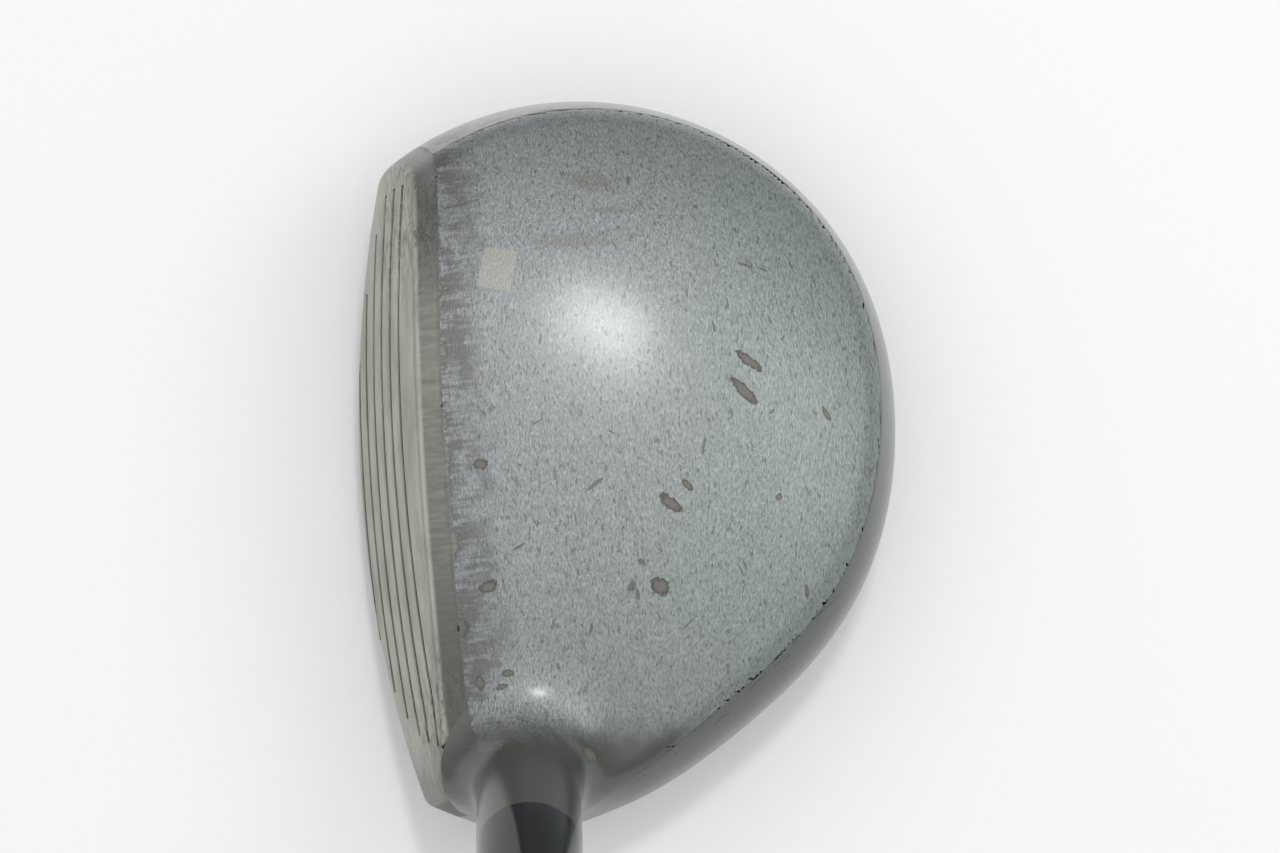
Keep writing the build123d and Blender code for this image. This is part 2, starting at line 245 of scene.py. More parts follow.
def net(solid, lines, origin=np.zeros(3), axes=np.eye(3)):
    """Points, quads, each quad's wall and corner normals of a solid, by dual contouring on a grid.

    lines are the grid's planes along its three axes; axes are those directions, as rows.
    """
    shape = [len(line) for line in lines]
    grid = np.stack(np.meshgrid(*lines, indexing="ij"), -1).reshape(-1, 3) @ axes + origin
    parts = np.array_split(grid, max(1, len(grid) // POINTS_AT_ONCE))
    value = np.concatenate([solid(part)[0] for part in parts]).reshape(shape)
    inside = value < 0
    cells = [n - 1 for n in shape]
    strides = np.array((cells[1] * cells[2], cells[2], 1))
    crossings, owners, quads, quad_walls = [], [], [], []
    for axis in range(3):
        low = [slice(None)] * 3
        high = [slice(None)] * 3
        low[axis], high[axis] = slice(None, -1), slice(1, None)
        at = np.argwhere(inside[tuple(low)] != inside[tuple(high)])
        u, v = (axis + 1) % 3, (axis + 2) % 3
        fits = (at[:, u] > 0) & (at[:, v] > 0) & (at[:, u] < cells[u]) & (at[:, v] < cells[v])
        at = at[fits]
        ahead = at.copy()
        ahead[:, axis] += 1
        first, second = value[tuple(at.T)], value[tuple(ahead.T)]
        share = (first / (first - second))[:, None]
        here = np.stack([lines[k][at[:, k]] for k in range(3)], 1)
        there = np.stack([lines[k][ahead[:, k]] for k in range(3)], 1)
        points = (here + (there - here) * share) @ axes + origin
        corner = at @ strides
        ring = np.stack([corner - strides[u] - strides[v], corner - strides[v],
                         corner, corner - strides[u]], 1)
        turned = first >= 0
        ring[turned] = ring[turned][:, ::-1]
        which = solid(points)[1]
        crossings.append(np.repeat(points, 4, 0))
        owners.append(ring.reshape(-1))
        quads.append(ring)
        quad_walls.append(which)
    owner, quad, quad_wall = np.concatenate(owners), np.concatenate(quads), np.concatenate(quad_walls)
    crossing = np.concatenate(crossings)
    used, index = np.unique(owner, return_inverse=True)
    share = np.bincount(index)
    points = np.stack([np.bincount(index, crossing[:, k]) / share for k in range(3)], 1)
    touching = np.repeat(quad_wall, 4)
    counts = {int(n): np.bincount(index, touching == n) for n in np.unique(quad_wall)}
    walls_of = {number: count > 0 for number, count in counts.items()}
    main_wall = np.array(list(counts))[np.argmax(np.stack(list(counts.values())), 0)]
    points = settle(points, walls_of, main_wall)
    quad = np.searchsorted(used, quad)
    normals = np.zeros((len(quad), 4, 3))
    for number in walls_of:
        rows = np.flatnonzero(quad_wall == number)
        corner, back = np.unique(quad[rows], return_inverse=True)
        gradient = slope(number, points[corner])[1]
        gradient /= np.maximum(np.linalg.norm(gradient, axis=1), 1e-9)[:, None]
        normals[rows] = gradient[back.reshape(-1)].reshape(-1, 4, 3)
    flat = np.cross(points[quad[:, 2]] - points[quad[:, 0]], points[quad[:, 3]] - points[quad[:, 1]])
    wrong = np.einsum("ij,ij->i", flat, normals.sum(1)) < 0
    normals[wrong] *= -1
    return points, quad, quad_wall, normals


def lines_through(low, high, step, close=(), gap=0.03, clear=0.3):
    """Grid planes a step apart, with a pair held close on each side of some places.

    gap is how far each of a pair is from its place; clear is the share of a step kept free round it.
    """
    planes = list(np.arange(low, high + step, step))
    for place in close:
        planes = [plane for plane in planes if abs(plane - place) > step * clear]
        planes += [place - gap, place + gap]
    return np.array(sorted(planes))


# ------------------------------------------------------------------ meshes and pieces

def mesh_object(name, points, quads, normals=None):
    """An object of quads; points are in metres."""
    mesh = bpy.data.meshes.new(name)
    mesh.vertices.add(len(points))
    mesh.vertices.foreach_set("co", np.asarray(points, np.float32).reshape(-1))
    mesh.loops.add(quads.size)
    mesh.loops.foreach_set("vertex_index", quads.reshape(-1).astype(np.int32))
    mesh.polygons.add(len(quads))
    mesh.polygons.foreach_set("loop_start", np.arange(0, quads.size, quads.shape[1], dtype=np.int32))
    mesh.update(calc_edges=True)
    mesh.validate()
    mesh.shade_smooth()
    if normals is not None:
        mesh.normals_split_custom_set(normals.reshape(-1, 3))
    thing = bpy.data.objects.new(name, mesh)
    bpy.context.scene.collection.objects.link(thing)
    return thing


def piece(thing, slot, material, *nodes):
    """Gives a piece its material, its body and the CAD nodes it stands for."""
    thing.data.materials.append(material)
    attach(thing, "root")
    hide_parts(*nodes)
    return thing


def solid_piece(name, solid, box, steps, slot, material, node):
    low, high = box
    lines = [lines_through(low[k], high[k], steps[k]) for k in range(3)]
    points, quads, _, normals = net(solid, lines)
    return piece(mesh_object(name, points * MM, quads, normals), slot, material, node)


# ------------------------------------------------------------------ materials

class Nodes:
    """A material's node tree, with short ways to add to it."""

    def __init__(self, name):
        self.material = bpy.data.materials.new(name)
        self.material.use_nodes = True
        self.tree = self.material.node_tree
        self.shader = self.tree.nodes["Principled BSDF"]
        self.place = self.add("ShaderNodeTexCoord").outputs["Object"]

    def add(self, kind, **settings):
        node = self.tree.nodes.new(kind)
        for key, value in settings.items():
            setattr(node, key, value)
        return node

    def put(self, value, socket):
        if isinstance(value, bpy.types.NodeSocket):
            self.tree.links.new(value, socket)
        else:
            socket.default_value = value

    def math(self, operation, *values):
        node = self.add("ShaderNodeMath", operation=operation)
        for value, socket in zip(values, node.inputs):
            self.put(value, socket)
        return node.outputs[0]

    def vector(self, operation, *values):
        node = self.add("ShaderNodeVectorMath", operation=operation)
        for value, socket in zip(values, node.inputs):
            self.put(value, socket)
        return node.outputs["Value" if operation in ("DOT_PRODUCT", "DISTANCE", "LENGTH") else "Vector"]

    def stretched(self, scale, turn=(0, 0, 0)):
        """Object coordinates turned, then scaled per axis (in units per metre)."""
        node = self.add("ShaderNodeMapping", vector_type="TEXTURE")
        self.put(self.place, node.inputs["Vector"])
        node.inputs["Rotation"].default_value = turn
        node.inputs["Scale"].default_value = [1 / s for s in scale]
        return node.outputs[0]

    def noise(self, scale=1.0, detail=2.0, roughness=0.5, where=None, seed=0.0):
        node = self.add("ShaderNodeTexNoise", noise_dimensions="4D")
        self.put(self.place if where is None else where, node.inputs["Vector"])
        node.inputs["W"].default_value = seed
        node.inputs["Scale"].default_value = scale
        node.inputs["Detail"].default_value = detail
        node.inputs["Roughness"].default_value = roughness
        return node.outputs["Fac"]

    def step(self, value, low, high, soft=True):
        """0 below low and 1 above high."""
        node = self.add("ShaderNodeMapRange", interpolation_type="SMOOTHSTEP" if soft else "LINEAR")
        self.put(value, node.inputs["Value"])
        node.inputs["From Min"].default_value = low
        node.inputs["From Max"].default_value = high
        return node.outputs["Result"]

    def below(self, value, low, high):
        """1 below low and 0 above high."""
        return self.math("SUBTRACT", 1.0, self.step(value, low, high))

    def between(self, value, low, high):
        """Turns a 0 to 1 value into low to high."""
        node = self.add("ShaderNodeMapRange")
        self.put(value, node.inputs["Value"])
        node.inputs["To Min"].default_value = low
        node.inputs["To Max"].default_value = high
        return node.outputs["Result"]

    def swayed(self, value, noise, reach):
        """A value moved by a 0 to 1 noise, by reach at most either way."""
        return self.math("ADD", value, self.between(noise, -reach, reach))

    def mix(self, share, first, second):
        node = self.add("ShaderNodeMix", data_type="RGBA")
        self.put(share, node.inputs[0])
        for value, socket in ((first, node.inputs[6]), (second, node.inputs[7])):
            self.put(value if isinstance(value, bpy.types.NodeSocket) else (*value, 1), socket)
        return node.outputs[2]

    def part(self, axis):
        """One coordinate, in metres."""
        return self.add_linked("ShaderNodeSeparateXYZ", self.place).outputs[axis]

    def add_linked(self, kind, value, **settings):
        node = self.add(kind, **settings)
        self.put(value, node.inputs[0])
        return node

    def spot(self, x, y, half_long, half_wide, turn, square=False):
        """Distance from the middle of an ellipse seen from above, 1 at its rim; in mm and degrees."""
        node = self.add_linked("ShaderNodeMapping", self.place, vector_type="TEXTURE")
        node.inputs["Location"].default_value = (x * MM, y * MM, 0)
        node.inputs["Rotation"].default_value = (0, 0, radians(turn))
        node.inputs["Scale"].default_value = (half_long * MM, half_wide * MM, 1)
        if square:
            sides = self.add_linked("ShaderNodeSeparateXYZ", self.vector("ABSOLUTE", node.outputs[0]))
            return self.math("MAXIMUM", sides.outputs["X"], sides.outputs["Y"])
        return self.vector("LENGTH", node.outputs[0])

    def nearest(self, spots):
        """The least distance from any of some ellipses."""
        least = self.spot(*spots[0])
        for place in spots[1:]:
            least = self.math("MINIMUM", least, self.spot(*place))
        return least

    def bump(self, height, distance, strength=1.0, under=None):
        node = self.add("ShaderNodeBump")
        node.inputs["Strength"].default_value = strength
        node.inputs["Distance"].default_value = distance
        self.put(height, node.inputs["Height"])
        if under is not None:
            self.put(under, node.inputs["Normal"])
        return node.outputs["Normal"]

    def finish(self, **inputs):
        for name, value in inputs.items():
            socket = self.shader.inputs[name.replace("_", " ")]
            if name == "Base_Color" and not isinstance(value, bpy.types.NodeSocket):
                value = (*value, 1)
            self.put(value, socket)
        return self.material


# ------------------------------------------------------------------ materials: paint and bare steel

# Chips in the crown's paint, seen from above: middle x and y, half length, half width (mm), and the
# turn of the long side from +X (degrees)
CHIPS = (
    (21.8, 9.7, 2.4, 0.65, -42), (20.9, 5.6, 2.5, 0.75, -48), (12.5, -6.6, 1.1, 0.5, -45),
    (10.2, -8.9, 1.9, 0.75, -42), (8.0, -19.6, 1.4, 1.1, -40), (31.6, 2.5, 1.1, 0.35, -65),
    (24.5, -8.6, 0.55, 0.4, 40), (27.3, -20.9, 0.3, 0.9, 0), (-14.5, -18.3, 1.35, 0.8, 15),
    (-19.0, -23.3, 1.9, 1.3, 0), (-16.4, -30.6, 0.65, 1.0, 10), (-12.7, -29.6, 0.8, 0.5, 0),
    (-13.6, -31.3, 0.9, 0.4, 12), (-14.4, -2.2, 1.0, 0.7, 0), (-2.7, -40.8, 1.3, 0.9, -60),
)
# Short dark scratches and specks, in the same way
SCRATCHES = (
    (0.2, -5.9, 1.5, 0.3, 35), (18.7, -17.8, 1.1, 0.12, -65), (19.3, -17.2, 0.9, 0.12, -65),
    (-10.2, -13.4, 1.2, 0.2, 25), (22.3, 23.0, 1.3, 0.22, -18), (24.6, 22.4, 0.8, 0.2, -25),
    (7.5, 35.5, 0.3, 0.7, 0), (-14.4, 33.6, 3.2, 0.16, 12), (-16.3, 30.1, 1.3, 0.14, 4),
    (5.8, -16.3, 0.7, 0.35, -30), (4.3, -19.4, 0.5, 0.9, -10), (5.0, -20.6, 0.3, 0.8, 0),
    (24.4, 2.8, 0.6, 0.25, 40), (3.2, 14.3, 0.25, 0.4, 0), (-1.2, 10.2, 0.3, 0.3, 0),
    (21.3, 28.0, 0.7, 0.14, -40), (8.6, 11.5, 0.4, 0.2, 50), (-5.5, 14.0, 0.2, 1.1, -12),
    (11.5, -24.5, 1.6, 0.12, 42), (-1.4, -24.5, 0.25, 1.0, -15), (15.0, -1.5, 0.2, 1.2, -12),
    (17.5, 14.5, 0.2, 1.0, 10), (-6.5, 3.0, 0.9, 0.14, 30), (3.0, 1.0, 0.8, 0.12, -30),
    (-22.3, -40.1, 0.9, 0.16, 62), (-21.1, -40.6, 0.7, 0.16, 70), (-19.4, -41.3, 0.9, 0.16, 55),
    (-17.9, -42.3, 1.1, 0.16, 50), (-23.7, -39.5, 0.6, 0.14, 75), (-25.2, -38.6, 0.7, 0.14, 80),
    (-1.5, -44.6, 2.0, 0.14, 48),
)
PATCH = (-10.6, 24.0, 2.3, 2.9, -14)         # rubbed light area, four-sided
SMUDGES = ((-0.4, 27.3, 7.5, 1.5, -3), (2.5, 35.6, 4.0, 1.8, -12), (4.5, 31.4, 3.5, 0.7, -5))

# Cracks along the crown's rim: depth under the crown and wander (m), and the share of noise left out
CRACKS = ((0.0042, 0.0035, 0.50), (0.0018, 0.0020, 0.56), (0.0085, 0.0040, 0.56))
# A thin dark line this deep under the crown is painted shade of the crown's tight crease; it and the cracks
# have this half width.
CREASE_SHADE_DEPTH, CRACK_HALF_WIDTH = 0.0009, 0.00014

FLAKE_DARK, FLAKE_LIGHT = (0.165, 0.175, 0.178), (0.31, 0.325, 0.325)
GREEN_DARK, GREEN_LIGHT = (0.165, 0.205, 0.178), (0.29, 0.35, 0.31)     # flake at the back of the crown
FLECK_GREY = (0.10, 0.105, 0.10)
# The casting's greys are painted light: the dark one is painted shade at the heel and hosel, the light one
# a painted reflection of the floor along the toe skirt.
CAST_HEEL_SHADE, CAST_TOE_SHEEN = (0.095, 0.101, 0.090), (0.33, 0.335, 0.325)     # casting at the heel and the toe
RUBBED_DARK = (0.105, 0.108, 0.102)
# Chips are grey inside; the darker grey at their rims is partly the paint's broken edge and partly painted
# shade along the chip's wall.
CHIP_GREY, CHIP_EDGE_SHADE = (0.15, 0.142, 0.122), (0.075, 0.073, 0.065)
# The crack grey also paints the shade along the crown's crease.
SCRATCH_GREY, CRACK_AND_CREASE_SHADE_GREY = (0.09, 0.09, 0.085), (0.06, 0.06, 0.055)
PATCH_GREY = (0.30, 0.295, 0.27)
WORN_DARK, WORN_LIGHT = (0.135, 0.133, 0.119), (0.19, 0.187, 0.168)
WORN_END = (0.095, 0.096, 0.088)         # the same band near its toe and heel ends
BARE_DARK, BARE_LIGHT = (0.32, 0.312, 0.272), (0.45, 0.44, 0.385)
HEEL_GREY = (0.21, 0.21, 0.19)
LINE_BLACK = (0.02, 0.02, 0.02)

# Where one finish gives way to the next, as the start and end of the change, in metres
BARE_EDGE = (0.0030, 0.0036)         # behind the face: from bare steel to paint
RUBBED_EDGE = (0.0042, 0.0100)       # behind the face: from rubbed paint to whole paint
FLAKE_END = (0.0350, 0.0405)         # towards the heel: from flake to smooth casting
RIM_EDGE = (0.0004, 0.0012)          # under the crown: from flake to smooth casting
TOP_SIDE = (0.0015, 0.0025)          # under the crown: the end of chips and scratches
STEM_START = (-0.0045, -0.0025)      # over the crown: the stem, which isn't rubbed
HEEL_DULL = (0.034, 0.043)           # towards the heel: from bright face to dull heel tip
TOE_SKIRT = (0.034, 0.044)           # towards the toe: from worn band to skirt
FACE_RIM = (0.0003, 0.0009)          # behind the face: from its front to its wrapped edge


def depth_behind_face(n):
    """Distance behind the face surface, in metres."""
    middle = Vector((FACE_CENTRE - FACE_RADIUS * OUT_FACE) * MM)
    return n.math("SUBTRACT", FACE_RADIUS * MM, n.vector("DISTANCE", n.place, middle))


def depth_under_crown(n):
    """Distance under the crown surface, in metres, measured along its axis."""
    from_foot = n.vector("SUBTRACT", n.place, Vector(CROWN_FOOT * MM))
    height = n.vector("DOT_PRODUCT", from_foot, Vector(CROWN_AXIS))
    reach = n.math("SUBTRACT", n.vector("DOT_PRODUCT", from_foot, from_foot), n.math("POWER", height, 2.0))
    share = n.math("DIVIDE", reach, (CROWN_REACH * MM) ** 2)
    quartic = n.math("MULTIPLY", n.math("POWER", share, 2.0), 1 - CROWN_FULLNESS)
    drop = n.math("ADD", n.math("MULTIPLY", share, CROWN_FULLNESS), quartic)
    surface = n.math("SUBTRACT", (CROWN_RIM + CROWN_RISE) * MM, n.math("MULTIPLY", drop, CROWN_RISE * MM))
    return n.math("SUBTRACT", surface, height)


def thin_line(n, distance, half_width, soften=0.5):
    """1 on the line where a distance is nought, fading out over its half width."""
    away = n.math("ABSOLUTE", distance)
    return n.math("SUBTRACT", 1.0, n.step(away, half_width * (1 - soften), half_width))


def worn_colour(n, smear):
    """The rubbed band behind the top line, darker towards both its ends."""
    worn = n.mix(n.step(smear, 0.3, 0.7), WORN_DARK, WORN_LIGHT)
    from_middle = n.math("ABSOLUTE", n.math("SUBTRACT", n.part("Y"), 0.002))
    return n.mix(n.math("MULTIPLY", n.step(from_middle, 0.012, 0.030), 0.65), worn, WORN_END)


def smear_noise(n):
    """Streaks that run back from the face, over both the face's wrapped edge and the paint."""
    return n.noise(1.0, 3.0, 0.65, n.stretched((230, 1500, 230), (0, 0, radians(4))), seed=5.0)


def flaked_colour(n, grain, cloud):
    """Metallic flake, greener towards the back, with dark flecks."""
    to_back = n.step(n.swayed(n.part("X"), cloud, 0.03), -0.012, 0.034)
    flecks = n.step(n.noise(1.0, 2.0, 0.6, n.stretched((2700, 900, 2700)), seed=16.0), 0.58, 0.64)
    colour = n.mix(grain, FLAKE_DARK, FLAKE_LIGHT)
    colour = n.mix(n.math("MULTIPLY", to_back, 0.6), colour, n.mix(grain, GREEN_DARK, GREEN_LIGHT))
    return n.mix(n.math("MULTIPLY", flecks, 0.75), colour, FLECK_GREY)


def cast_colour_with_painted_light(n, cloud):
    """The smooth casting, painted darker towards the heel and hosel as shade from dark reflections, and
    lighter towards the toe as a painted reflection of the floor.
    """
    fine = n.noise(1.0, 3.0, 0.6, n.stretched((1500, 1500, 1500)), seed=8.0)
    painted_light_to_toe = n.step(n.swayed(n.part("Y"), cloud, 0.01), -0.028, 0.046)
    return n.mix(n.math("MULTIPLY", n.between(fine, 0.85, 1.1), painted_light_to_toe), CAST_HEEL_SHADE, CAST_TOE_SHEEN)


def rubbed_paint(n, under, blotch, smear, wobble):
    """Where paint is rubbed off along the face, and where it is rubbed thin behind that."""
    wander = n.noise(1.0, 3.0, 0.6, n.stretched((260, 200, 260)), seed=6.0)
    edge = n.swayed(depth_behind_face(n), smear, -0.0009)
    edge = n.swayed(edge, wander, -0.0022)
    edge = n.swayed(edge, wobble, -0.0012)
    on_head = n.step(under, *STEM_START)
    bare = n.math("MULTIPLY", on_head, n.below(edge, *BARE_EDGE))
    whole = n.step(n.swayed(edge, blotch, 0.0025), *RUBBED_EDGE)
    patchy = n.step(n.swayed(smear, wander, 0.5), 0.36, 0.60)
    thin = n.math("MULTIPLY", n.math("SUBTRACT", on_head, whole), n.between(patchy, 0.2, 0.9))
    return bare, n.math("MAXIMUM", thin, 0.0)


def marked(n, colour, on_top, wobble):
    """Smudges, the rubbed patch, chips and scratches. Gives the colour, and where it is chipped."""
    smudged = n.below(n.nearest(SMUDGES), 0.35, 1.1)
    colour = n.mix(n.math("MULTIPLY", smudged, 0.45), colour, CHIP_GREY)
    in_patch = n.below(n.swayed(n.spot(*PATCH, square=True), wobble, 0.15), 0.93, 1.0)
    colour = n.mix(n.math("MULTIPLY", in_patch, 0.9), colour, PATCH_GREY)
    chip_rim = n.swayed(n.nearest(CHIPS), wobble, 0.7)
    chipped = n.math("MULTIPLY", on_top, n.below(chip_rim, 0.92, 1.0))
    # Darker rim round each chip: broken paint edge, and painted shade along the chip's wall
    colour = n.mix(chipped, colour, n.mix(n.step(chip_rim, 0.35, 0.95), CHIP_GREY, CHIP_EDGE_SHADE))
    scratch_rim = n.swayed(n.nearest(SCRATCHES), wobble, 0.7)
    scratched = n.math("MULTIPLY", on_top, n.below(scratch_rim, 0.75, 1.0))
    return n.mix(n.math("MULTIPLY", scratched, 0.8), colour, SCRATCH_GREY), chipped


def rim_cracks_and_crease_shade(n, under):
    """A thin dark line just under the crown's rim, painted shade of its tight crease, and fine cracking
    that runs with it.
    """
    drift = n.noise(1.0, 2.0, 0.5, n.stretched((160, 160, 160)), seed=9.0)
    broken = n.noise(1.0, 2.0, 0.5, n.stretched((240, 240, 240)), seed=10.0)
    # Painted shade: a broken dark line along the crown's crease
    crease_shade = thin_line(n, n.math("SUBTRACT", under, CREASE_SHADE_DEPTH), CRACK_HALF_WIDTH, 0.8)
    cracks_and_crease_shade = n.math("MULTIPLY", crease_shade, n.between(n.step(broken, 0.4, 0.6), 0.15, 0.6))
    for depth, shift, left_out in CRACKS:
        away = n.swayed(n.math("SUBTRACT", under, depth), drift, shift)
        unbroken = n.step(broken, left_out, left_out + 0.03)
        line = n.math("MULTIPLY", thin_line(n, away, CRACK_HALF_WIDTH), unbroken)
        cracks_and_crease_shade = n.math("MAXIMUM", cracks_and_crease_shade, line)
    return cracks_and_crease_shade


def paint_material(name):
    n = Nodes(name)
    under = depth_under_crown(n)
    flake = n.noise(1.0, 2.5, 0.65, n.stretched((4600, 1500, 2600), (0, 0, radians(-4))))
    blotch = n.noise(1.0, 2.0, 0.5, n.stretched((520, 330, 400)), seed=4.0)
    wobble = n.noise(1.0, 3.0, 0.7, n.stretched((1300, 1300, 1300)), seed=7.0)
    cloud = n.noise(42.0, 3.0, 0.55, seed=2.0)
    smear = smear_noise(n)

    grain = n.math("ADD", n.math("MULTIPLY", flake, 0.9), n.math("MULTIPLY", blotch, 0.1))
    grain = n.step(grain, 0.30, 0.70)
    to_heel = n.math("SUBTRACT", n.between(blotch, 0.002, -0.002), n.part("Y"))
    smooth = n.math("MAXIMUM", n.step(to_heel, *FLAKE_END), n.step(under, *RIM_EDGE))
    bare, thin = rubbed_paint(n, under, blotch, smear, wobble)

    # Smooth casting at the rim and heel, with its painted shade and painted reflection
    colour = n.mix(smooth, flaked_colour(n, grain, cloud), cast_colour_with_painted_light(n, cloud))
    colour = n.mix(thin, colour, RUBBED_DARK)
    colour, chipped = marked(n, colour, n.below(under, *TOP_SIDE), wobble)
    # Cracks, and painted shade along the crown's crease
    colour = n.mix(rim_cracks_and_crease_shade(n, under), colour, CRACK_AND_CREASE_SHADE_GREY)
    colour = n.mix(bare, colour, worn_colour(n, smear))

    flaky = n.math("SUBTRACT", 1.0, n.math("MAXIMUM", bare, smooth))
    rough = n.math("SUBTRACT", n.between(flake, 0.36, 0.50), n.math("MULTIPLY", smooth, 0.19))
    return n.finish(
        Base_Color=colour,
        Metallic=n.between(smooth, 0.72, 0.45),
        Coat_Weight=n.between(smooth, 0.6, 0.12),
        Coat_Roughness=0.2,
        Roughness=n.math("ADD", rough, n.math("MULTIPLY", chipped, 0.12)),
        Normal=n.bump(n.math("MULTIPLY", n.between(grain, 0.5, 1.0), flaky), 0.00010, 0.9),
    )


def face_material():
    """Bare sanded steel in front; worn like the paint's edge where it wraps round behind."""
    n = Nodes("face_steel")
    deep = depth_behind_face(n)
    sanded = n.noise(1.0, 3.0, 0.6, n.stretched((4200, 150, 4200)))
    stain = n.noise(1.0, 4.0, 0.6, n.stretched((260, 90, 260)), seed=3.0)
    scuff = n.noise(1.0, 4.0, 0.7, n.stretched((1700, 420, 1700)), seed=12.0)
    colour = n.mix(n.step(stain, 0.35, 0.7), BARE_LIGHT, BARE_DARK)
    colour = n.mix(n.math("MULTIPLY", n.step(sanded, 0.5, 0.75), 0.35), colour, WORN_DARK)

    # Scuffs round the ends of the lines, heel and toe
    from_middle = n.math("ABSOLUTE", n.math("SUBTRACT", n.part("Y"), -0.002))
    at_ends = n.step(n.swayed(from_middle, stain, 0.010), 0.019, 0.034)
    upper = n.step(n.part("Z"), 0.014, 0.021)
    scuffed = n.math("MULTIPLY", n.math("MULTIPLY", at_ends, upper), n.step(scuff, 0.50, 0.58))
    colour = n.mix(n.math("MULTIPLY", scuffed, 0.7), colour, CHIP_GREY)

    to_heel = n.step(n.math("SUBTRACT", n.between(stain, -0.003, 0.003), n.part("Y")), *HEEL_DULL)
    colour = n.mix(n.math("MULTIPLY", to_heel, 0.75), colour, HEEL_GREY)

    # The wrapped edge, with traces of paint just in front of the seam
    # Towards the toe the wrapped edge takes the casting's light grey, a painted reflection of the floor.
    wrapped = n.mix(n.step(n.part("Y"), *TOE_SKIRT), worn_colour(n, smear_noise(n)), CAST_TOE_SHEEN)
    traces = n.step(n.swayed(deep, scuff, 0.0011), 0.0026, 0.0033)
    wrapped = n.mix(n.math("MULTIPLY", traces, 0.7), wrapped, RUBBED_DARK)
    colour = n.mix(n.step(deep, *FACE_RIM), colour, wrapped)
    return n.finish(
        Base_Color=colour,
        Metallic=0.8,
        Roughness=n.between(sanded, 0.34, 0.52),
        Normal=n.bump(scuffed, 0.00008, 0.7, under=n.bump(sanded, 0.00001, 0.5)),
    )


def steel_material(name, colour, rough=0.35, scuffs=0.0):
    """Brushed steel; scuffs is how strong its scratches are."""
    n = Nodes(name)
    lines = n.noise(1.0, 3.0, 0.6, n.stretched((60, 4000, 4000)))
    stain = n.noise(90.0, 3.0, 0.6, seed=3.0)
    base = n.mix(n.step(stain, 0.35, 0.7), colour, tuple(c * 0.8 for c in colour))
    scratch = n.noise(1.0, 4.0, 0.7, n.stretched((90, 1400, 1400), (0, 0, radians(14))), seed=14.0)
    scratched = n.step(scratch, 0.60, 0.64)
    base = n.mix(n.math("MULTIPLY", scratched, scuffs), base, tuple(c * 0.35 for c in colour))
    return n.finish(
        Base_Color=base,
        Metallic=0.9,
        Roughness=n.between(lines, rough - 0.08, rough + 0.1),
        Normal=n.bump(scratched, 0.00003, scuffs, under=n.bump(lines, 0.00001, 0.6)),
    )


def plain_material(name, colour, rough, metallic=0.0, grain_scale=900.0, bump=0.3, **more):
    """A moulded or painted finish with a fine grain."""
    n = Nodes(name)
    grain = n.noise(grain_scale, 3.0, 0.6)
    cloud = n.noise(70.0, 3.0, 0.6, seed=1.0)
    base = n.mix(grain, tuple(c * 0.8 for c in colour), colour)
    base = n.mix(n.math("MULTIPLY", n.step(cloud, 0.45, 0.7), 0.4), base, tuple(c * 0.6 for c in colour))
    return n.finish(
        Base_Color=base,
        Metallic=metallic,
        Roughness=n.between(grain, rough - 0.05, rough + 0.05),
        Normal=n.bump(grain, 0.00002, bump),
        **more,
    )


def woven_material(name, colour, pitch, rough):
    """Crossed threads, round the shaft and along it."""
    n = Nodes(name)
    waves = []
    for turn in (0.7, -0.7):
        wave = n.add_linked("ShaderNodeTexWave", n.stretched((1, 1, 1), (LIE - pi / 2, turn, 0)))
        wave.inputs["Scale"].default_value = 1 / pitch
        wave.inputs["Distortion"].default_value = 0.3
        waves.append(wave.outputs["Fac"])
    weave = n.math("MAXIMUM", *waves)
    base = n.mix(weave, tuple(c * 0.6 for c in colour), colour)
    return n.finish(
        Base_Color=base,
        Roughness=rough,
        Coat_Weight=0.6,
        Coat_Roughness=0.06,
        Normal=n.bump(weave, 0.00001, 0.3),
    )


paint = paint_material("paint")
face_steel = face_material()
sole_steel = steel_material("sole_steel", (0.47, 0.46, 0.44), 0.36, 0.5)

# ------------------------------------------------------------------ the head's pieces

in_skin = wall(skin)
in_skin_on_ground = wall(lambda p: soft_max(skin(p), -p[:, 2], ROUND_FLAT))
behind_seam = wall(lambda p: face(p) + FACE_RETURN)
under_crown = wall(lambda p: crown(p) + CROWN_WALL)
under_crease = wall(lambda p: crown(p) + CROWN_WALL - SEAM_OVERLAP)
over_sole = wall(lambda p: sole(p) + SOLE_WALL)
over_sole_seam = wall(lambda p: sole(p) + SOLE_WALL - SEAM_OVERLAP)
in_skirt = wall(lambda p: side(p) + SKIRT_WALL)
by_hosel = either(
    wall(lambda p: np.hypot(p[:, 0] - ROOT_MIDDLE[0], p[:, 1] - ROOT_MIDDLE[1]) - ROOT_RADIUS),
    wall(lambda p: from_axis(p, HOSEL_FOOT, SHAFT_AXIS) - STEM_ROOM),
)
under_top = wall(lambda p: (p - HOSEL_FOOT) @ SHAFT_AXIS - HOSEL_TOP)
in_bore = wall(lambda p: from_axis(p, HOSEL_FOOT, SHAFT_AXIS) - BORE_RADIUS)
over_bore_floor = wall(lambda p: BORE_BOTTOM - (p - HOSEL_FOOT) @ SHAFT_AXIS)

stem_zone = both(
    wall(lambda p: from_axis(p, HOSEL_FOOT, SHAFT_AXIS) - STEM_ZONE_RADIUS),
    wall(lambda p: STEM_ZONE_BOTTOM - p[:, 2]),
)

hollow = both(in_skirt, either(under_crown, without(by_hosel)))
crown_solid = both(in_skin, behind_seam, without(under_crown), without(by_hosel))
body_solid = both(
    in_skin, under_top, either(behind_seam, stem_zone), over_sole_seam,
    without(hollow), without(both(without(under_crease), without(by_hosel))),
    without(both(in_bore, over_bore_floor)),
)

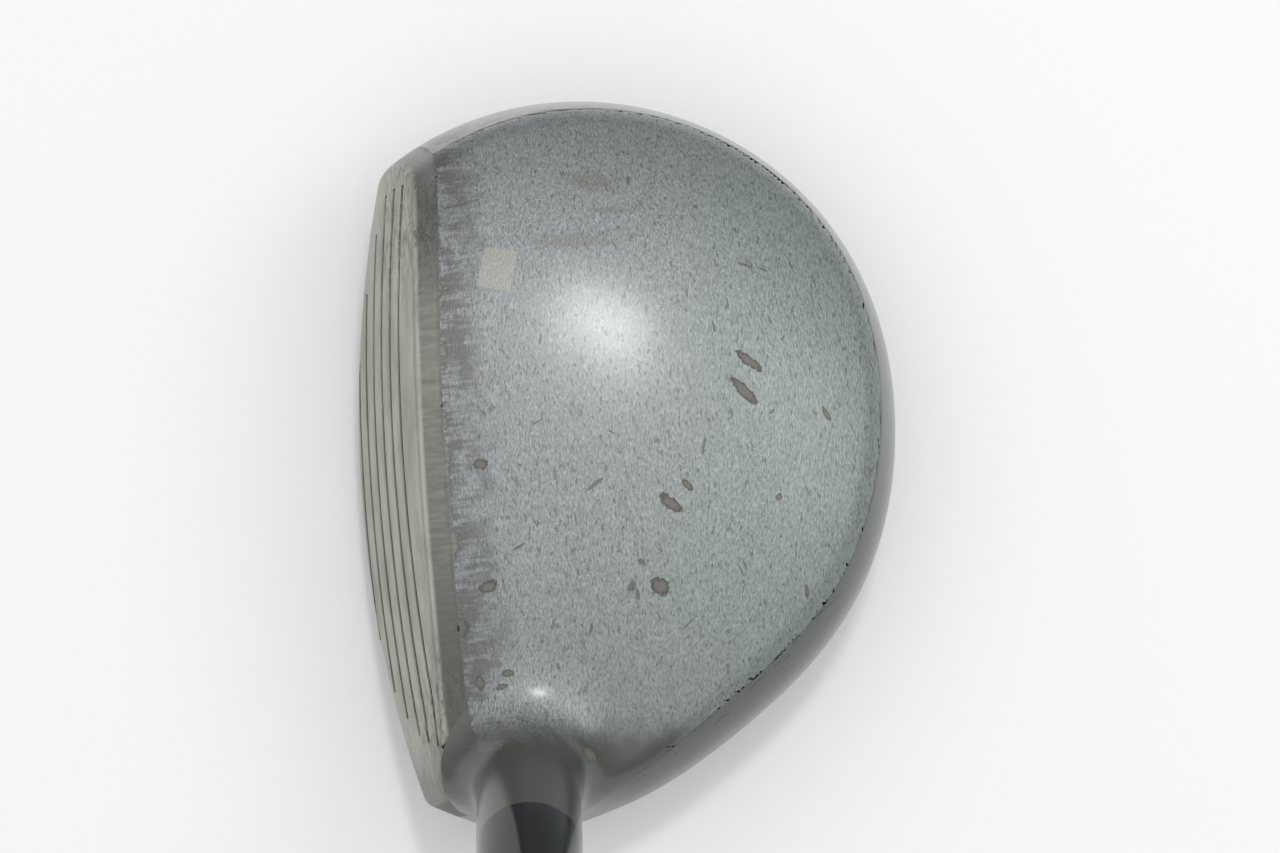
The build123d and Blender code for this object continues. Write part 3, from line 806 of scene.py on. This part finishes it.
medallion_foot, medallion_up = sole_spot(MEDALLION_SPOT)
weight_foot, weight_up = sole_spot(WEIGHT_SPOT)
medallion_pocket = both(
    wall(lambda p: from_axis(p, medallion_foot, medallion_up) - MEDALLION_RADIUS),
    wall(lambda p: -sole(p) - MEDALLION_POCKET),
)
weight_hole = both(
    wall(lambda p: from_axis(p, weight_foot, weight_up) - WEIGHT_HEAD_RADIUS),
    wall(lambda p: (p - weight_foot) @ weight_up - WEIGHT_HEAD_DEPTH),
)
weight_bore = wall(lambda p: from_axis(p, weight_foot, weight_up) - WEIGHT_SHANK_RADIUS)
sole_solid = both(
    in_skin_on_ground, behind_seam, without(over_sole),
    without(medallion_pocket), without(weight_hole), without(weight_bore),
)

# The low and high corners of each grid, and its steps along X, Y and Z. The crown's steps are finer
# upwards, to keep the two sides of its thin sheet apart.
CROWN_GRID = ((-24, -50, 18), (43, 50, 33.5))
BODY_GRID = ((-28, -62, 4), (44.5, 53, 49))
SOLE_GRID = ((-33, -52, -1), (44.5, 53, 15))
EVEN, FINE_UPWARDS = (0.5, 0.5, 0.5), (0.5, 0.5, 0.25)
solid_piece("crown", crown_solid, CROWN_GRID, FINE_UPWARDS, "crown_paint", paint, "crown_plate")
solid_piece("body", body_solid, BODY_GRID, EVEN, "body_paint", paint, "head_body")
solid_piece("sole", sole_solid, SOLE_GRID, EVEN, "sole_steel", sole_steel, "sole_plate")


def score_groove(row, toe_reach, heel_reach):
    rise = SCORE_FIRST + row * SCORE_PITCH
    return both(
        wall(lambda p: np.abs((p - FACE_CENTRE) @ UP_FACE - rise) - SCORE_HALF_WIDTH),
        wall(lambda p: p[:, 1] - FACE_CENTRE[1] - toe_reach),
        wall(lambda p: FACE_CENTRE[1] - p[:, 1] - heel_reach),
        groove_floor,
    )


groove_floor = wall(lambda p: -face(p) - SCORE_DEPTH)
face_hollow = both(
    wall(lambda p: side(p) + FACE_RIM_WALL),
    wall(lambda p: crown(p) + FACE_RIM_WALL),
    wall(lambda p: sole(p) + FACE_RIM_WALL),
    wall(lambda p: face(p) + FACE_WALL),
)
grooves = [score_groove(row, *reach) for row, reach in enumerate(zip(SCORE_TOE_REACH, SCORE_HEEL_REACH))]
face_solid = both(
    in_skin, without(behind_seam), without(stem_zone), without(face_hollow),
    *[without(groove) for groove in grooves],
)


def build_face():
    """The face on a grid that lies along it, with planes held close to the edges of the score lines."""
    rises = [SCORE_FIRST + row * SCORE_PITCH for row in range(len(grooves))]
    edges = [rise + end for rise in rises for end in (-SCORE_HALF_WIDTH, SCORE_HALF_WIDTH)]
    ends = sorted({-reach for reach in SCORE_TOE_REACH} | set(SCORE_HEEL_REACH))
    lines = [
        lines_through(-50, 55, 0.5, ends),
        lines_through(-17, 24, 0.5, edges),
        lines_through(-12, 1, 0.25),
    ]
    axes = np.array(((0.0, -1.0, 0.0), UP_FACE, OUT_FACE))
    points, quads, _, normals = net(face_solid, lines, FACE_CENTRE, axes)
    return piece(mesh_object("face", points * MM, quads, normals), "face_steel", face_steel, "face_plate")


build_face()

# ------------------------------------------------------------------ pieces turned about the shaft axis

CLUB_LENGTH, CAP_THICKNESS, CAP_RADIUS, VENT_RADIUS = 1067.0, 4.0, 13.6, 1.5
CAP_ROUND, CAP_GROOVE, CAP_BEVEL = 1.6, (7.6, 9.2), 0.4     # the groove's radii; its depth is the bevel
TIP_END, TIP_PARALLEL, BUTT_PARALLEL = 20.0, 90.0, 330.0
TIP_RADIUS, TIP_BORE, BUTT_RADIUS, BUTT_BORE = 4.25, 2.4, 7.62, 6.5
BUTT_END = CLUB_LENGTH - CAP_THICKNESS
TAPER_START, TAPER_END = TIP_END + TIP_PARALLEL, BUTT_END - BUTT_PARALLEL

FERRULE_LENGTH, FERRULE_TOP_RADIUS, FERRULE_CURVE, FERRULE_STEPS = 22.0, 5.1, 1.55, 24
FERRULE_END = HOSEL_TOP + FERRULE_LENGTH

BAND_LENGTH, BAND_THICKNESS, BAND_BELOW_BUTT = 55.0, 0.12, 420.0

GRIP_LENGTH, GRIP_MOUTH_RADIUS, GRIP_BUTT_RADIUS, GRIP_LIP = 267.0, 9.4, 13.2, 0.8
GRIP_LOWER_SWELL, GRIP_BUTT_CURVE, GRIP_LIP_LENGTH, GRIP_STEPS = 1.9, 2.4, 1.5, 520
GRIP_TAPE_THICKNESS, GRIP_TAPE_LENGTH = 0.25, 258.0
GRIP_GROOVE, GRIP_GROOVES_ROUND, GRIP_TWIST = 0.35, 14, 0.115   # depth, number each way, turn per mm
GRIP_COLLARS = (14.0, 10.0)                                     # plain ends, at the mouth and the butt

ACROSS = np.cross(SHAFT_AXIS, (1.0, 0.0, 0.0))


def turned(name, profile, segments, slot, material, node, carve=None):
    """A ring turned about the shaft axis from a closed profile of (radius, distance from the ground).

    carve takes distance and angle, and gives how deep the outside is cut there.
    """
    radius, along = (np.array(column) for column in zip(*profile))
    area = ((np.roll(along, -1) + along) * (np.roll(radius, -1) - radius)).sum()
    if area > 0:
        radius, along = radius[::-1], along[::-1]
    angle = np.arange(segments) * tau / segments
    ring, turn = np.meshgrid(np.arange(len(radius)), angle, indexing="ij")
    reach = radius[ring]
    if carve is not None:
        reach = reach - carve(along[ring], turn, reach)
    points = (HOSEL_FOOT + along[ring][..., None] * SHAFT_AXIS
              + (reach * np.cos(turn))[..., None] * np.array((1.0, 0.0, 0.0))
              + (reach * np.sin(turn))[..., None] * ACROSS)
    first = np.arange(len(radius))[:, None] * segments + np.arange(segments)[None]
    after = np.roll(first, -1, 0)
    quads = np.stack((first, np.roll(first, -1, 1), np.roll(after, -1, 1), after), -1).reshape(-1, 4)
    thing = mesh_object(name, points.reshape(-1, 3) * MM, quads)
    thing.data.set_sharp_from_angle(angle=radians(32))
    return piece(thing, slot, material, node)


def run(first, last, count):
    """A straight stretch of profile, as points."""
    start, reach = np.array(first), np.array(last) - np.array(first)
    return [tuple(start + reach * i / count) for i in range(count + 1)]


def shaft_radius(distance):
    share = min(max((distance - TAPER_START) / (TAPER_END - TAPER_START), 0.0), 1.0)
    return TIP_RADIUS + share * (BUTT_RADIUS - TIP_RADIUS)


def build_ferrule():
    flank = []
    for i in range(FERRULE_STEPS + 1):
        share = i / FERRULE_STEPS
        drop = (HOSEL_RADIUS - FERRULE_TOP_RADIUS) * share ** FERRULE_CURVE
        flank.append((HOSEL_RADIUS - drop, HOSEL_TOP + share * (FERRULE_LENGTH - 0.8)))
    profile = flank + [
        (FERRULE_TOP_RADIUS - 0.25, FERRULE_END - 0.3), (FERRULE_TOP_RADIUS - 0.6, FERRULE_END),
        (TIP_RADIUS, FERRULE_END), (TIP_RADIUS, HOSEL_TOP),
    ]
    gloss = plain_material("ferrule_black", (0.012, 0.013, 0.015), 0.13, grain_scale=300.0, bump=0.1)
    turned("ferrule_ring", profile, 96, "ferrule_black", gloss, "ferrule")


def build_shaft():
    outside = [(TIP_RADIUS, TIP_END), (TIP_RADIUS, TAPER_START)]
    outside += run((TIP_RADIUS, TAPER_START), (BUTT_RADIUS, TAPER_END), 24)[1:]
    outside += [(BUTT_RADIUS, BUTT_END)]
    inside = [(BUTT_BORE, BUTT_END), (BUTT_BORE, TAPER_END), (TIP_BORE, TAPER_START), (TIP_BORE, TIP_END)]
    graphite = woven_material("shaft_graphite", (0.030, 0.032, 0.036), 0.0016, 0.28)
    turned("shaft_tube", outside + inside, 96, "shaft_graphite", graphite, "shaft")


def build_band():
    low, high = BUTT_END - BAND_BELOW_BUTT - BAND_LENGTH, BUTT_END - BAND_BELOW_BUTT
    outside = run((shaft_radius(low) + BAND_THICKNESS, low), (shaft_radius(high) + BAND_THICKNESS, high), 6)
    silver = plain_material("band_silver", (0.50, 0.52, 0.55), 0.22, 0.7, 400.0, 0.15)
    turned("shaft_label", outside + [(shaft_radius(high), high), (shaft_radius(low), low)],
           96, "band", silver, "shaft_band")


def grip_pattern(along, turn, reach):
    """Crossed helical grooves between two plain collars."""
    mouth = BUTT_END - GRIP_LENGTH
    deep = np.zeros_like(reach)
    for way in (-1, 1):
        wave = np.cos(GRIP_GROOVES_ROUND * turn + way * GRIP_GROOVES_ROUND * GRIP_TWIST / 2 * along)
        deep = np.maximum(deep, np.clip((wave - 0.62) / 0.3, 0, 1))
    inside = np.minimum(along - mouth - GRIP_COLLARS[0], BUTT_END - GRIP_COLLARS[1] - along)
    outer = reach > GRIP_MOUTH_RADIUS - 0.01
    return GRIP_GROOVE * deep * np.clip(inside / 1.5, 0, 1) * outer


def build_grip():
    mouth = BUTT_END - GRIP_LENGTH
    side_points = []
    for i in range(GRIP_STEPS + 1):
        share = i / GRIP_STEPS
        along = mouth + GRIP_LIP_LENGTH + share * (GRIP_LENGTH - GRIP_LIP_LENGTH)
        # An even swell, and a faster one towards the butt
        swell = (GRIP_BUTT_RADIUS - GRIP_MOUTH_RADIUS - GRIP_LOWER_SWELL) * share ** GRIP_BUTT_CURVE
        side_points.append((GRIP_MOUTH_RADIUS + GRIP_LOWER_SWELL * share + swell, along))
    tape = BUTT_RADIUS + GRIP_TAPE_THICKNESS
    tape_start = BUTT_END - GRIP_TAPE_LENGTH
    profile = side_points + [
        (tape, BUTT_END), (tape, tape_start), (BUTT_RADIUS, tape_start), (BUTT_RADIUS, mouth),
        (GRIP_MOUTH_RADIUS - GRIP_LIP, mouth), (GRIP_MOUTH_RADIUS - 0.25, mouth + 0.45),
    ]
    turned("grip_sleeve", profile, 168, "grip_rubber", rubber, "grip", grip_pattern)


def build_cap():
    middle = CAP_RADIUS - CAP_ROUND, CLUB_LENGTH - CAP_ROUND
    turns = np.linspace(0, pi / 2, 9)
    arc = [(middle[0] + CAP_ROUND * cos(a), middle[1] + CAP_ROUND * sin(a)) for a in turns]
    inner, outer = CAP_GROOVE
    floor = CLUB_LENGTH - CAP_BEVEL
    profile = [
        (CAP_RADIUS, BUTT_END), *arc,
        (outer, CLUB_LENGTH), (outer - CAP_BEVEL, floor), (inner + CAP_BEVEL, floor), (inner, CLUB_LENGTH),
        (VENT_RADIUS + CAP_BEVEL, CLUB_LENGTH), (VENT_RADIUS, floor), (VENT_RADIUS, BUTT_END),
    ]
    turned("grip_end_cap", profile, 128, "grip_rubber", rubber, "grip_cap")


rubber = plain_material("grip_rubber", (0.020, 0.020, 0.021), 0.68, grain_scale=1600.0, bump=0.6)
build_ferrule()
build_shaft()
build_band()
build_grip()
build_cap()

# ------------------------------------------------------------------ CAD nodes that keep their shape


def dress(node, material):
    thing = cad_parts[node]
    if not thing.data.materials:
        thing.data.materials.append(material)
    for index in range(len(thing.data.materials)):
        thing.data.materials[index] = material


machined = steel_material("machined_steel", (0.42, 0.42, 0.42), 0.3)
dress("score_line_paint", plain_material("line_paint", LINE_BLACK, 0.6))
dress("sole_medallion", plain_material("medallion_finish", (0.10, 0.11, 0.12), 0.3, 0.8, 500.0, 0.4))
dress("weight_screw", machined)
dress("weight_boss", machined)
dress("catch_pad", plain_material("catch_adhesive", (0.60, 0.46, 0.18), 0.35, grain_scale=260.0))
dress("bore_plug", plain_material("plug_foam", (0.66, 0.63, 0.52), 0.9, grain_scale=2200.0, bump=1.0))
dress("bond_sleeve", plain_material("bond_epoxy", (0.12, 0.12, 0.10), 0.2, grain_scale=500.0))
dress("tip_weight", plain_material("turned_brass", (0.72, 0.50, 0.20), 0.28, 0.95, 700.0))
dress("grip_tape", plain_material("tape_paper", (0.66, 0.60, 0.44), 0.8, grain_scale=1400.0, bump=0.8))

# ------------------------------------------------------------------ floor, light and camera

SKY = ((0.0, 0.34), (0.35, 0.50), (0.75, 1.23), (1.0, 1.10))     # sine of the height, and light there
TOE_SIDE_GAIN, HEEL_SIDE_GAIN = 0.74, 1.06


def studio_sky():
    """A soft dome, bright overhead and darker low down."""
    world = bpy.data.worlds.new("studio")
    bpy.context.scene.world = world
    world.use_nodes = True
    nodes, links = world.node_tree.nodes, world.node_tree.links
    direction = nodes.new("ShaderNodeTexCoord")
    split = nodes.new("ShaderNodeSeparateXYZ")
    links.new(direction.outputs["Generated"], split.inputs[0])
    by_height = nodes.new("ShaderNodeValToRGB")
    links.new(split.outputs["Z"], by_height.inputs[0])
    ramp = by_height.color_ramp
    for _ in SKY[2:]:
        ramp.elements.new(0.5)
    for element, (height, light) in zip(ramp.elements, SKY):
        element.position = height
        element.color = (light, light, light, 1)
    by_side = nodes.new("ShaderNodeMapRange")
    links.new(split.outputs["Y"], by_side.inputs["Value"])
    by_side.inputs["From Min"].default_value = -1.0
    by_side.inputs["To Min"].default_value = HEEL_SIDE_GAIN
    by_side.inputs["To Max"].default_value = TOE_SIDE_GAIN
    strength = nodes.new("ShaderNodeMath")
    strength.operation = "MULTIPLY"
    links.new(by_height.outputs["Color"], strength.inputs[0])
    links.new(by_side.outputs["Result"], strength.inputs[1])
    background = nodes["Background"]
    background.inputs["Color"].default_value = (0.97, 0.985, 1.0, 1)
    links.new(strength.outputs[0], background.inputs["Strength"])


def lamp(name, where, size, power):
    """A square soft light that faces the head."""
    data = bpy.data.lights.new(name, "AREA")
    data.energy, data.size = power, size
    thing = bpy.data.objects.new(name, data)
    thing.location = where
    thing.rotation_euler = Vector(where).to_track_quat("Z", "Y").to_euler()
    bpy.context.scene.collection.objects.link(thing)


def lay_floor():
    n = Nodes("floor")
    speckle = n.noise(900.0, 2.0, 0.5)
    n.finish(Base_Color=n.mix(speckle, (0.86, 0.87, 0.855), (0.88, 0.89, 0.875)), Roughness=0.8)
    bpy.ops.mesh.primitive_plane_add(size=30.0, location=(0, 0, -0.0002))
    floor = bpy.context.object
    floor.name = "floor"
    floor.data.materials.append(n.material)


# The camera looks down, tipped towards the heel, and is rolled a little
LOOK_AT = Vector((6.9, 4.5, 15.0)) * MM
CAMERA_DISTANCE = 0.56
TIP_HEEL, TIP_FACE, ROLL = radians(10.5), radians(0.33), radians(-4.0)
FOCAL_WIDTHS = 4132 / 1280     # focal length over the image's width


def place_camera():
    back = Vector((-sin(TIP_FACE), -sin(TIP_HEEL) * cos(TIP_FACE), cos(TIP_HEEL) * cos(TIP_FACE)))
    up = Vector((0, 1, 0))
    up = (up - back * up.dot(back)).normalized()
    right = up.cross(back)
    right, up = right * cos(ROLL) + up * sin(ROLL), up * cos(ROLL) - right * sin(ROLL)
    data = bpy.data.cameras.new("camera")
    data.sensor_width = 36.0
    data.lens = 36.0 * FOCAL_WIDTHS
    data.clip_start, data.clip_end = 0.01, 50.0
    camera = bpy.data.objects.new("camera", data)
    turn = Matrix((right, up, back)).transposed().to_4x4()
    camera.matrix_world = Matrix.Translation(LOOK_AT + back * CAMERA_DISTANCE) @ turn
    bpy.context.scene.collection.objects.link(camera)
    bpy.context.scene.camera = camera


studio_sky()
lamp("ceiling", (0.18, 0.41, 1.30), 0.17, 3.4)
lamp("back", (0.92, 0.12, 1.05), 0.60, 1.8)
lay_floor()
place_camera()
bpy.context.scene.view_settings.view_transform = "Standard"
